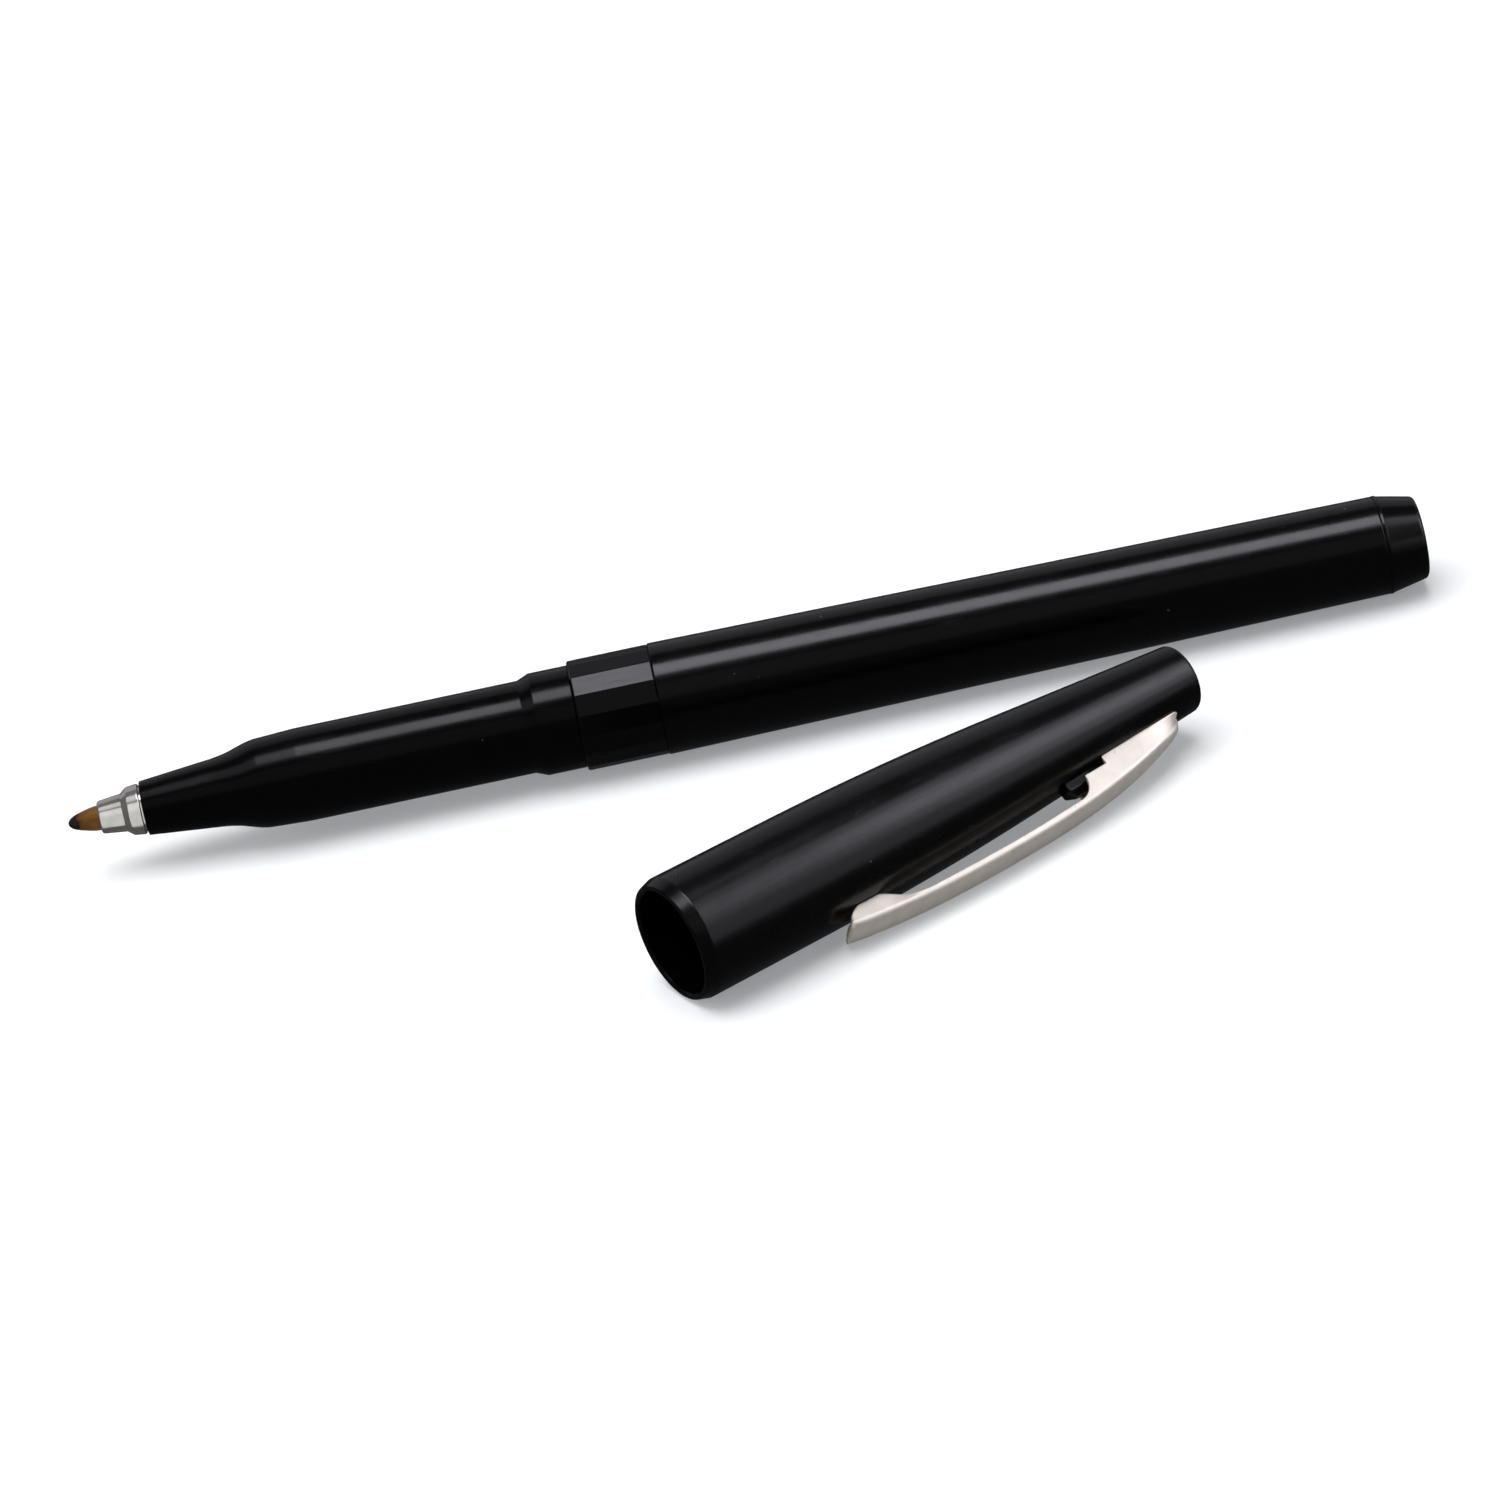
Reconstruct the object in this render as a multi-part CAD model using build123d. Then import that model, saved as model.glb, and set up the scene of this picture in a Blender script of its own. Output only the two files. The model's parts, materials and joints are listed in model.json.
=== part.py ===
from build123d import *
import os
from math import atan2, cos, degrees, radians, sin

# Felt tip marker lying on a surface with its cap pulled off and laid beside it. Millimetres, +Z up.
# The pen points its nib toward -X. Its own stations are measured along its axis from the front edge
# of the barrel, negative toward the nib. The cap's stations are measured from its mouth.
# Origin: on the surface, under the middle of the whole layout.

# ---- driving dimensions: pen ----
barrel_length = 70.2
barrel_front_radius = 5.38
barrel_back_radius = 4.72
barrel_bore_radius = 4.25
bore_taper_length = 8.0                # where the bore narrows before the tail plug
bore_step_gap = 1.0
edge_break = 0.12                      # small broken edge on moulded parts

plug_length = 3.9
plug_bead_length = 0.35
plug_bead_radius = barrel_back_radius + 0.03
plug_end_radius = 3.93
plug_edge_round = 0.45
plug_bead_proud = 0.07                  # bead over the cone behind it
plug_spigot_length = 6.0
plug_wall = 0.9
plug_floor = 0.5

collar_length = 7.85
collar_flats = 16
collar_across_flats = 10.40
collar_bevel = 0.18
collar_turn = -5.0                     # degrees that one of its corners leans from straight up
flat_clearance = 0.02                  # small play left round hidden fits

seat_length = 3.75                     # short cylinder that the cap's mouth grips
seat_radius = 4.93
seat_ramp = 1.15
seat_round = 0.3
grip_back = -(collar_length + seat_length + seat_ramp)
grip_front = -34.4
grip_radius = 4.465
grip_round = 2.0
waist_back = -38.2
waist_back_radius = 4.28
waist_back_slope = 0.07
waist_bend = (-41.0, 3.58)
waist_front_slope = 0.085
waist_front = -43.8
waist_front_radius = 3.17
nose_front = -49.7
nose_front_radius = 2.60
spigot_length = 11.0                   # section tube that plugs into the barrel
section_bore_radius = 3.45
throat_radius = 1.75                   # narrow bore that holds the back of the nib
throat_front = -42.0
throat_back = -37.6
spigot_radius = 4.20

ferrule_back = nose_front - 0.15
ferrule_ring_front = -51.05
ferrule_flare_front = -51.65
ferrule_front = -54.0
ferrule_front_radius = 1.56
ferrule_tube_radius = 1.84
ferrule_ring_radius = 2.46
ferrule_rim_round = 0.28
ferrule_wall = 0.28
ferrule_funnel = 0.8                   # length over which the inside narrows to the nib
ferrule_step = 0.14                    # ring's front edge below its back edge
ferrule_bend_round = 0.25
ferrule_ring_front_round = 0.3
ferrule_ring_back_round = 0.2
ferrule_tail_back = -44.6              # reduced tail of the ferrule, held inside the nose
ferrule_tail_radius = 2.15

nib_radius = 1.20
nib_tip = -57.0
nib_ball_radius = 0.48
nib_ball_turn = 40.0                   # degrees of the point that are round
nib_cheek = (-55.75, 0.87)
nib_slope = 0.03
nib_back = -31.0
bush_back = -45.2
bush_front_gap = 1.0
bush_bevel = 0.15

reservoir_front = -34.6
reservoir_back = 60.0
reservoir_radius = 3.30
film_thickness = 0.08
rib_count = 4
rib_width = 0.8
rib_gap = 0.15                         # between the ribs and the reservoir's film
rib_root = 0.3                         # how far a rib runs into the barrel's wall
rib_front = spigot_length + 2.0
rib_back = 58.0

# ---- driving dimensions: cap ----
cap_length = 57.8
cap_mouth_radius = 5.92
cap_front_slope = -0.006               # nearly parallel front half
cap_front_end = 14.0
cap_back_start = 38.0
cap_back_slope = -0.0775               # straight tapered back half
cap_end_round = 0.5
lip_round = 0.42
lip_chamfer = 0.22
bore_radius = 4.99                     # parallel stretch that grips the seat
bore_length = 9.0
cap_hall_radius = 4.70                 # clears the grip
cap_hall_start = 10.5
cap_hall_end = 27.0
cap_well_radius = 3.85                 # holds the inner liner
cap_well_start = 33.8
cap_well_end_radius = 2.85
cap_end_wall = 2.2

liner_wall = 0.55
liner_length = 16.5
liner_floor = 0.8
liner_gap = 0.03
liner_end_gap = 0.3
liner_lip_round = 0.2

lug_front = 39.9
lug_length = 3.9
lug_width = 2.1
lug_top = 6.0
lug_root = 0.6                         # how far the lug runs into the cap's wall
lug_chamfer = 0.35

# ---- driving dimensions: clip (stations from the mouth, distances out from the cap's axis) ----
clip_sheet = 0.42
clip_half_width = 1.66
clip_tip = (14.35, 7.52)
clip_rise = (20.0, 8.12)
clip_belly = (27.0, 8.33)
clip_waist = (34.0, 8.16)
clip_shoulder = (40.0, 7.78)
clip_fall = (47.0, 6.74)
clip_bow = (52.0, 5.45)
clip_prow = (54.4, 3.95)
clip_tip_slope = 0.16
clip_prow_slope = 0.35
clip_flange_depth = 0.78
free_edge_front = 24.0                 # where the flanges reach their free depth behind the ears
free_edge_back = (37.0, 7.17)
ear_front = (14.6, 7.0)
ear_apex = (17.6, 5.5)
ear_back = (20.9, 7.3)
notch_radius = 2.0
notch_centre = (40.45, 4.95)
tooth_station = 45.0
tooth_level = 4.82
tail_level = 2.0                       # level inside the cap down to which the clip's sides are drawn
hug_gap = 0.06                         # between the clip's edges and the cap
clip_taper_start = 46.5
prow_half_width = 1.2
prow_roundness = 0.9                   # share of the prow's half width that is rounded
clip_tip_round = 0.5
clip_overshoot = 1.0                   # how far the cutting shapes pass the sheet's open ends
clip_plan_height = 12.0
clip_hinge = (53.9, 3.9)

# ---- driving dimensions: layout ----
cap_yaw = 27.54                        # degrees from the pen's axis
cap_beside_pen = (-3.81, -44.40)       # mouth centre, from the middle of the barrel's front edge
clip_below_level = 31.0                # degrees the clip has rolled below level
pen_tilt = degrees(atan2(barrel_front_radius - plug_bead_radius, barrel_length + plug_bead_length))
cap_tilt = degrees(atan2(-cap_front_slope, 1.0))


def near(items, *point):
    """The vertex or edge closest to a point."""
    return items.sort_by_distance(point)[0]


def profile(corners, rounds=(), bevels=()):
    """Flat face through (station, radius) corners, with some of its corners rounded or bevelled."""
    face = make_face(Polyline(*corners, close=True))
    for corner, size in rounds:
        face = fillet(near(face.vertices(), corner[0], corner[1], 0), size)
    for corner, size in bevels:
        face = chamfer(near(face.vertices(), corner[0], corner[1], 0), size)
    return face


def filled(*lines):
    """Flat face inside a closed run of lines and curves."""
    return make_face(Wire([edge for line in lines for edge in line.edges()]))


def turned(corners, rounds=(), bevels=()):
    """Solid of revolution about X."""
    return revolve(profile(corners, rounds, bevels), Axis.X)


def barrel():
    """Tapered tube with four inner ribs that centre the reservoir."""
    front = (0, barrel_front_radius)
    back = (barrel_length, barrel_back_radius)
    bore_back_radius = barrel_back_radius - (barrel_front_radius - barrel_bore_radius)
    narrow_end = barrel_length - plug_spigot_length - bore_step_gap
    corners = [(0, barrel_bore_radius), front, back, (barrel_length, bore_back_radius)]
    corners += [(narrow_end, bore_back_radius), (narrow_end - bore_taper_length, barrel_bore_radius)]
    tube = turned(corners, bevels=[(front, edge_break), (back, edge_break)])
    inner = reservoir_radius + rib_gap
    height = barrel_bore_radius + rib_root - inner
    rib = Box(rib_back - rib_front, rib_width, height, align=(Align.MIN, Align.CENTER, Align.MIN))
    ribs = [Rot(360 * k / rib_count, 0, 0) * Pos(rib_front, 0, inner) * rib for k in range(rib_count)]
    return tube + ribs


def tail_plug():
    """Conical end plug with a raised bead at the seam and a hollow spigot inside the barrel."""
    start = barrel_length
    end = start + plug_length
    spigot = barrel_back_radius - (barrel_front_radius - barrel_bore_radius)
    bead = start + plug_bead_length
    corners = [(start - plug_spigot_length, spigot), (start, spigot), (start, plug_bead_radius)]
    corners += [(bead, plug_bead_radius), (bead, plug_bead_radius - plug_bead_proud)]
    corners += [(end, plug_end_radius), (end, 0), (start - plug_floor, 0)]
    corners += [(start - plug_floor, spigot - plug_wall)]
    corners += [(start - plug_spigot_length, spigot - plug_wall)]
    return turned(corners, rounds=[((end, plug_end_radius), plug_edge_round)])


def collar():
    """Many-sided ring trapped between the section and the barrel."""
    ring = extrude(RegularPolygon(collar_across_flats / 2, collar_flats, major_radius=False), collar_length)
    ring = Pos(-collar_length, 0, 0) * Rot(collar_turn, 0, 0) * Rot(0, 90, 0) * ring
    corner_radius = collar_across_flats / 2 / cos(radians(180 / collar_flats)) + flat_clearance
    bevelled = turned(
        [(-collar_length, 0), (-collar_length, corner_radius), (0, corner_radius), (0, 0)],
        bevels=[((-collar_length, corner_radius), collar_bevel), ((0, corner_radius), edge_break)])
    hole = turned([(-collar_length, 0), (-collar_length, spigot_radius), (0, spigot_radius), (0, 0)])
    return (ring & bevelled) - hole


def section():
    """Front section: nose cone, curved waist, grip, ramp and cap seat, with a spigot into the barrel."""
    seat_front = -(collar_length + seat_length)
    seat_back = -collar_length
    outline = [
        Polyline((seat_back, spigot_radius), (seat_back, seat_radius), (seat_front, seat_radius),
                 (grip_back, grip_radius), (grip_front, grip_radius), (waist_back, waist_back_radius)),
        Spline((waist_back, waist_back_radius), waist_bend, (waist_front, waist_front_radius),
               tangents=[(-1, -waist_back_slope), (-1, -waist_front_slope)]),
        Polyline((waist_front, waist_front_radius), (nose_front, nose_front_radius),
                 (nose_front, ferrule_tail_radius), (ferrule_tail_back, ferrule_tail_radius),
                 (ferrule_tail_back, throat_radius), (throat_front, throat_radius),
                 (throat_back, section_bore_radius), (spigot_length, section_bore_radius),
                 (spigot_length, spigot_radius), (seat_back, spigot_radius)),
    ]
    face = filled(*outline)
    face = fillet(near(face.vertices(), nose_front, nose_front_radius, 0), edge_break)
    face = fillet(near(face.vertices(), seat_front, seat_radius, 0), seat_round)
    face = fillet(near(face.vertices(), grip_front, grip_radius, 0), grip_round)
    return revolve(face, Axis.X)


def ferrule():
    """Metal tip shell: rolled rim, small tube, flare, back ring and a tail held in the nose."""
    rim = (ferrule_front, ferrule_front_radius)
    tube_end = (ferrule_flare_front, ferrule_tube_radius)
    ring_front = (ferrule_ring_front, ferrule_ring_radius - ferrule_step)
    mouth = nib_radius + flat_clearance
    ring_back = (ferrule_back, ferrule_ring_radius)
    corners = [(ferrule_front, mouth), rim, tube_end, ring_front, ring_back]
    corners += [(ferrule_back, ferrule_tail_radius), (ferrule_tail_back, ferrule_tail_radius)]
    corners += [(ferrule_tail_back, ferrule_tail_radius - ferrule_wall)]
    corners += [(ferrule_flare_front + ferrule_funnel, ferrule_tail_radius - ferrule_wall)]
    corners += [(ferrule_flare_front, mouth)]
    rounds = [(rim, ferrule_rim_round), (tube_end, ferrule_bend_round)]
    rounds += [(ring_front, ferrule_ring_front_round), (ring_back, ferrule_ring_back_round)]
    return turned(corners, rounds=rounds)


def nib():
    """Porous rod with a bullet point."""
    shoulder = (ferrule_front, nib_radius)
    centre = nib_tip + nib_ball_radius
    turn = radians(nib_ball_turn)
    point = (centre - nib_ball_radius * cos(turn), nib_ball_radius * sin(turn))
    outline = [
        Polyline((nib_back, 0), (nib_back, nib_radius), shoulder),
        Spline(shoulder, nib_cheek, point, tangents=[(-1, -nib_slope), (-sin(turn), -cos(turn))]),
        CenterArc((centre, 0), nib_ball_radius, 180 - nib_ball_turn, nib_ball_turn),
        Line((nib_tip, 0), (nib_back, 0)),
    ]
    return revolve(filled(*outline), Axis.X)


def nib_bush():
    """Plastic sleeve between the nib and the ferrule."""
    front = ferrule_flare_front + bush_front_gap
    outer = ferrule_tail_radius - ferrule_wall
    corners = [(front, nib_radius), (front, outer), (bush_back, outer), (bush_back, nib_radius)]
    return turned(corners, bevels=[((front, outer), bush_bevel)])


def reservoir_fibre():
    """Ink-holding fibre rod with a socket for the back of the nib."""
    corners = [(reservoir_front, nib_radius), (reservoir_front, reservoir_radius)]
    corners += [(reservoir_back, reservoir_radius), (reservoir_back, 0), (nib_back, 0)]
    corners += [(nib_back, nib_radius)]
    return turned(corners)


def reservoir_film():
    """Thin plastic film wrapped round the fibre rod."""
    outer = reservoir_radius + film_thickness
    corners = [(reservoir_front, reservoir_radius), (reservoir_front, outer)]
    corners += [(reservoir_back, outer), (reservoir_back, reservoir_radius)]
    return turned(corners)


def cap_line_radius(station):
    """Outside radius on the straight front or back stretch of the cap."""
    if station <= cap_front_end:
        return cap_mouth_radius + cap_front_slope * station
    front = cap_mouth_radius + cap_front_slope * cap_front_end
    bend = (cap_front_slope + cap_back_slope) / 2 * (cap_back_start - cap_front_end)
    return front + bend + cap_back_slope * (station - cap_back_start)


def cap_outline(grow=0.0):
    """Edges of the cap's outside from the mouth to the closed end, grown outward by a gap."""
    points = [(s, cap_line_radius(s) + grow) for s in (0, cap_front_end, cap_back_start, cap_length)]
    bend = Spline(points[1], points[2], tangents=[(1, cap_front_slope), (1, cap_back_slope)])
    return [Line(points[0], points[1]), bend, Line(points[2], points[3])]


def cap_body(grow=0.0):
    """Solid outer shape of the cap, with soft edges when it isn't grown."""
    end = cap_line_radius(cap_length) + grow
    closing = Polyline((cap_length, end), (cap_length, 0), (0, 0), (0, cap_mouth_radius + grow))
    face = filled(*cap_outline(grow), closing)
    if grow == 0.0:
        face = fillet(near(face.vertices(), 0, cap_mouth_radius, 0), lip_round)
        face = fillet(near(face.vertices(), cap_length, end, 0), cap_end_round)
    return revolve(face, Axis.X)


def liner_outer_radius(station):
    """Radius of the well that holds the liner, tapering toward the closed end."""
    well_end = cap_length - cap_end_wall
    slope = (cap_well_end_radius - cap_well_radius) / (well_end - cap_well_start)
    return cap_well_radius + slope * (station - cap_well_start)


def cap_shell():
    """Cap moulding: stepped bore, soft lip and the lug that stands between the clip's flanges."""
    well_end = cap_length - cap_end_wall
    corners = [(0, 0), (0, bore_radius + lip_chamfer), (lip_chamfer, bore_radius), (bore_length, bore_radius)]
    corners += [(cap_hall_start, cap_hall_radius), (cap_hall_end, cap_hall_radius)]
    corners += [(cap_well_start, cap_well_radius), (well_end, cap_well_end_radius), (well_end, 0)]
    lug_floor = cap_line_radius(lug_front) - lug_root
    lug = Box(lug_length, lug_width, lug_top - lug_floor, align=(Align.MIN, Align.CENTER, Align.MIN))
    lug = Pos(lug_front, 0, lug_floor) * lug
    upright = lug.edges().filter_by(Axis.Z)
    rim = lug.faces().sort_by(Axis.Z)[-1].edges()
    lug = chamfer(upright + rim, lug_chamfer)
    return cap_body() - turned(corners) + Rot(90 + clip_below_level, 0, 0) * lug


def cap_liner():
    """Inner sealing cup that closes round the nose when the cap is on."""
    back = cap_length - cap_end_wall - liner_end_gap
    front = back - liner_length
    outer_front = liner_outer_radius(front) - liner_gap
    outer_back = liner_outer_radius(back) - liner_gap
    corners = [(front, outer_front), (back, outer_back), (back, 0), (back - liner_floor, 0)]
    corners += [(back - liner_floor, outer_back - liner_wall), (front, outer_front - liner_wall)]
    return turned(corners, rounds=[((front, outer_front - liner_wall), liner_lip_round)])


def clip_side(inset=0.0):
    """Side view of the clip's channel: curved back, two ears, notch, tooth and hugging edge."""
    back = [(s, d - inset) for s, d in (clip_tip, clip_rise, clip_belly, clip_waist, clip_shoulder,
                                        clip_fall, clip_bow, clip_prow)]
    return Spline(*back, tangents=[(1, clip_tip_slope), (clip_prow_slope, -1)])


def upright(face):
    """A side view given the clip's full width, standing up about the cap's axis."""
    width = 2 * (clip_half_width + clip_overshoot)
    return Pos(0, width / 2, 0) * Rot(90, 0, 0) * extrude(face, width)


def clip_flanges():
    """Side view of the clip between its back and the edges of its two sides."""
    centre, level = notch_centre
    notch_top = (centre, level + notch_radius)
    notch_side = (centre + notch_radius, level)
    diagonal = notch_radius * sin(radians(45))
    free_front = (free_edge_front, clip_belly[1] - clip_flange_depth)
    return filled(
        clip_side(),
        Polyline(clip_prow, (clip_prow[0], tail_level), (tooth_station, tail_level),
                 (tooth_station, tooth_level), notch_side),
        ThreePointArc(notch_side, (centre + diagonal, level + diagonal), notch_top),
        Spline(notch_top, free_edge_back, free_front, ear_back),
        ThreePointArc(ear_back, ear_apex, ear_front),
        Line(ear_front, clip_tip),
    )


def clip_plan(inset):
    """Outline of the clip seen from outside: parallel, then narrowing to a rounded prow."""
    half = clip_half_width - inset
    prow_half = prow_half_width - inset * prow_roundness
    front = clip_tip[0] - (clip_overshoot if inset else 0)
    back = clip_prow[0] - inset
    corners = [(front, -half), (clip_taper_start, -half), (back, -prow_half), (back, prow_half)]
    corners += [(clip_taper_start, half), (front, half)]
    face = make_face(Polyline(*corners, close=True))
    prow = face.vertices().group_by(Axis.X)[-1]
    face = fillet(prow, prow_half * prow_roundness)
    if not inset:
        face = fillet(face.vertices().group_by(Axis.X)[0], clip_tip_round)
    return extrude(face, clip_plan_height)


def clip():
    """Stamped channel clip, built as if it stood on top of the cap."""
    inner_curve = clip_side(clip_sheet)
    first = inner_curve @ 0
    last = inner_curve @ 1
    floor = -clip_overshoot
    lead = first.X - clip_overshoot
    below = Polyline((last.X, last.Y), (last.X, floor), (lead, floor), (lead, first.Y), (first.X, first.Y))
    side = upright(clip_flanges())
    trough = upright(filled(inner_curve, below))
    channel = (side & clip_plan(0)) - (trough & clip_plan(clip_sheet))
    return channel - cap_body(hug_gap)


def build():
    """All sub-parts in the layout, keyed by node name."""
    pen_parts = {
        "barrel": barrel(), "tail_plug": tail_plug(), "collar": collar(), "section": section(),
        "ferrule": ferrule(), "nib": nib(), "nib_bush": nib_bush(),
        "reservoir_fibre": reservoir_fibre(), "reservoir_film": reservoir_film(),
    }
    cap_parts = {
        "cap_shell": cap_shell(), "cap_liner": cap_liner(),
        "clip": Rot(90 + clip_below_level, 0, 0) * clip(),
    }
    lift_pen = barrel_front_radius * cos(radians(pen_tilt))
    lift_cap = cap_mouth_radius / cos(radians(cap_tilt))
    pen_place = Pos(0, 0, lift_pen) * Rot(0, pen_tilt, 0)
    cap_place = Pos(*cap_beside_pen, lift_cap) * Rot(0, 0, cap_yaw) * Rot(0, cap_tilt, 0)
    placed = {name: pen_place * solid for name, solid in pen_parts.items()}
    placed |= {name: cap_place * solid for name, solid in cap_parts.items()}
    box = Compound(children=[Part(s.wrapped) for s in placed.values()]).bounding_box()
    shift = Pos(-(box.min.X + box.max.X) / 2, -(box.min.Y + box.max.Y) / 2, 0)
    return {name: shift * solid for name, solid in placed.items()}, shift * pen_place, shift * cap_place


nodes, pen_frame, cap_frame = build()
os.makedirs("parts", exist_ok=True)
for name, solid in nodes.items():
    export_step(solid, f"parts/{name}.step")
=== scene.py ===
import json
from math import cos, hypot, pi, radians, sin, tan, atan2

import bmesh
import bpy
from mathutils import Matrix, Vector


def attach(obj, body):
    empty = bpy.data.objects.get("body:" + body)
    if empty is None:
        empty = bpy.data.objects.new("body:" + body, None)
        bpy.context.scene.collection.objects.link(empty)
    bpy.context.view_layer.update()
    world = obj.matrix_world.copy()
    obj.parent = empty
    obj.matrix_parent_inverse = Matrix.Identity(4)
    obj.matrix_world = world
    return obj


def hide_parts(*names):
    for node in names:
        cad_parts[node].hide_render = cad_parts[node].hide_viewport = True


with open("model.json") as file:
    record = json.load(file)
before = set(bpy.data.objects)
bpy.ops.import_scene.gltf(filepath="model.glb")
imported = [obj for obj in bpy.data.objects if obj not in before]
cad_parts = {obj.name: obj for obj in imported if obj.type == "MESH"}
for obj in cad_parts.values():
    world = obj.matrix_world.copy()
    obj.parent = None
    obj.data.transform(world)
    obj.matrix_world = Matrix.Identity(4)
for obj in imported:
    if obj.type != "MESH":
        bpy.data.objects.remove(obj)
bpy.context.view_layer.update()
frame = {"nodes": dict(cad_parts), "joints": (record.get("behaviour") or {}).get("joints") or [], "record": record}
record = frame["record"]
mounts = {m["name"]: m for m in record["mounts"]}
joints = {j["name"]: j for j in frame["joints"]}
MM = 0.001

# Sizes are in millimetres. Stations along the pen start at the barrel's front edge and are negative toward
# the nib; stations along the cap start at its mouth.
PEN_TAIL = 74.1
CAP_LENGTH = 57.8


# ---- local frames of the pen, the cap and the clip, from the record ----
def frame_at(origin, way):
    """Local frame: X along the piece, Y level, Z upward."""
    x = way.normalized()
    y = Vector((0, 0, 1)).cross(x).normalized()
    z = x.cross(y)
    axes = Matrix((x, y, z)).transposed().to_4x4()
    return Matrix.Translation(origin) @ axes


def mount_point(name):
    return Vector(mounts[name]["pos_m"])


pen_way = Vector(mounts["tail_face"]["axis"])
pen_origin = mount_point("tail_face") - pen_way.normalized() * PEN_TAIL * MM
PEN = frame_at(pen_origin, pen_way)
cap_way = Vector(mounts["cap_end_face"]["axis"])
cap_origin = mount_point("cap_end_face") - cap_way.normalized() * CAP_LENGTH * MM
CAP = frame_at(cap_origin, cap_way)
clip_side = Vector(joints["clip_flex"]["axis"])
local_side = CAP.to_3x3().inverted() @ clip_side
CLIP = CAP @ Matrix.Rotation(atan2(local_side.z, local_side.y), 4, "X")


# ---- outlines ----
def rounded(corners, steps=6):
    """Points along a run of (station, radius) or (station, radius, rounding) corners."""
    points = []
    for k, corner in enumerate(corners):
        here = Vector(corner[:2])
        size = corner[2] if len(corner) > 2 else 0
        if not size:
            points.append(here)
            continue
        before = Vector(corners[k - 1][:2]) - here
        after = Vector(corners[(k + 1) % len(corners)][:2]) - here
        before.normalize()
        after.normalize()
        half = before.angle(after) / 2
        middle = (before + after).normalized()
        centre = here + middle * (size / sin(half))
        start = here + before * (size / tan(half)) - centre
        end = here + after * (size / tan(half)) - centre
        sweep = start.angle_signed(end)
        for i in range(steps + 1):
            a = -sweep * i / steps
            spoke = Vector((start.x * cos(a) - start.y * sin(a), start.x * sin(a) + start.y * cos(a)))
            points.append(centre + spoke)
    return points


def through(points, first=None, last=None, steps=12):
    """Smooth curve through points; first and last are its end directions, or None to leave an end free."""
    points = [Vector(p) for p in points]
    spans = [(b - a).length for a, b in zip(points, points[1:])]
    count = len(points)
    rows = [[0.0] * count for _ in range(count)]
    sums = [Vector((0, 0)) for _ in range(count)]
    for i in range(1, count - 1):
        rows[i][i - 1] = spans[i]
        rows[i][i] = 2 * (spans[i - 1] + spans[i])
        rows[i][i + 1] = spans[i - 1]
        sums[i] = 3 * (spans[i] * (points[i] - points[i - 1]) / spans[i - 1]
                       + spans[i - 1] * (points[i + 1] - points[i]) / spans[i])
    for end, way, near, span in ((0, first, 1, spans[0]), (count - 1, last, count - 2, spans[-1])):
        rows[end][end] = 1.0 if way else 2.0
        if way:
            sums[end] = Vector(way).normalized()
        else:
            rows[end][near] = 1.0
            sums[end] = 3 * (points[max(end, near)] - points[min(end, near)]) / span
    for i in range(count):
        for j in range(i + 1, count):
            share = rows[j][i] / rows[i][i]
            rows[j] = [a - share * b for a, b in zip(rows[j], rows[i])]
            sums[j] = sums[j] - share * sums[i]
    slopes = [None] * count
    for i in reversed(range(count)):
        rest = sums[i]
        for j in range(i + 1, count):
            rest = rest - rows[i][j] * slopes[j]
        slopes[i] = rest / rows[i][i]
    curve = [points[0]]
    for i, span in enumerate(spans):
        for k in range(1, steps + 1):
            t = k / steps
            a = 2 * t ** 3 - 3 * t ** 2 + 1
            b = t ** 3 - 2 * t ** 2 + t
            c = -2 * t ** 3 + 3 * t ** 2
            d = t ** 3 - t ** 2
            curve.append(a * points[i] + b * span * slopes[i] + c * points[i + 1] + d * span * slopes[i + 1])
    return curve


# ---- meshes ----
SHARP = radians(25)
BEVEL_STEPS = 3


def finish_mesh(name, place, verts, faces, body, stands_for, material, soften=0.0):
    """Object from points and faces in its local frame, shaded by its larger faces. Where soften isn't 0,
    its sharp edges are rounded by that much."""
    mesh = bpy.data.meshes.new(name)
    mesh.from_pydata([tuple(c * MM for c in v) for v in verts], [], faces)
    bm = bmesh.new()
    bm.from_mesh(mesh)
    bmesh.ops.recalc_face_normals(bm, faces=bm.faces)
    if soften:
        sharp = [e for e in bm.edges if e.calc_face_angle(0) > SHARP]
        bmesh.ops.bevel(bm, geom=sharp, offset=soften * MM, segments=BEVEL_STEPS, profile=0.5, affect="EDGES")
    bm.to_mesh(mesh)
    bm.free()
    mesh.shade_smooth()
    normals = [Vector((0, 0, 0)) for _ in mesh.vertices]
    for face in mesh.polygons:
        for v in face.vertices:
            normals[v] += face.normal * face.area
    mesh.normals_split_custom_set_from_vertices([n.normalized() for n in normals])
    piece = bpy.data.objects.new(name, mesh)
    bpy.context.scene.collection.objects.link(piece)
    piece.matrix_world = place
    piece.data.materials.append(material)
    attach(piece, body)
    if stands_for:
        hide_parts(*stands_for)
    return piece


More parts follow.
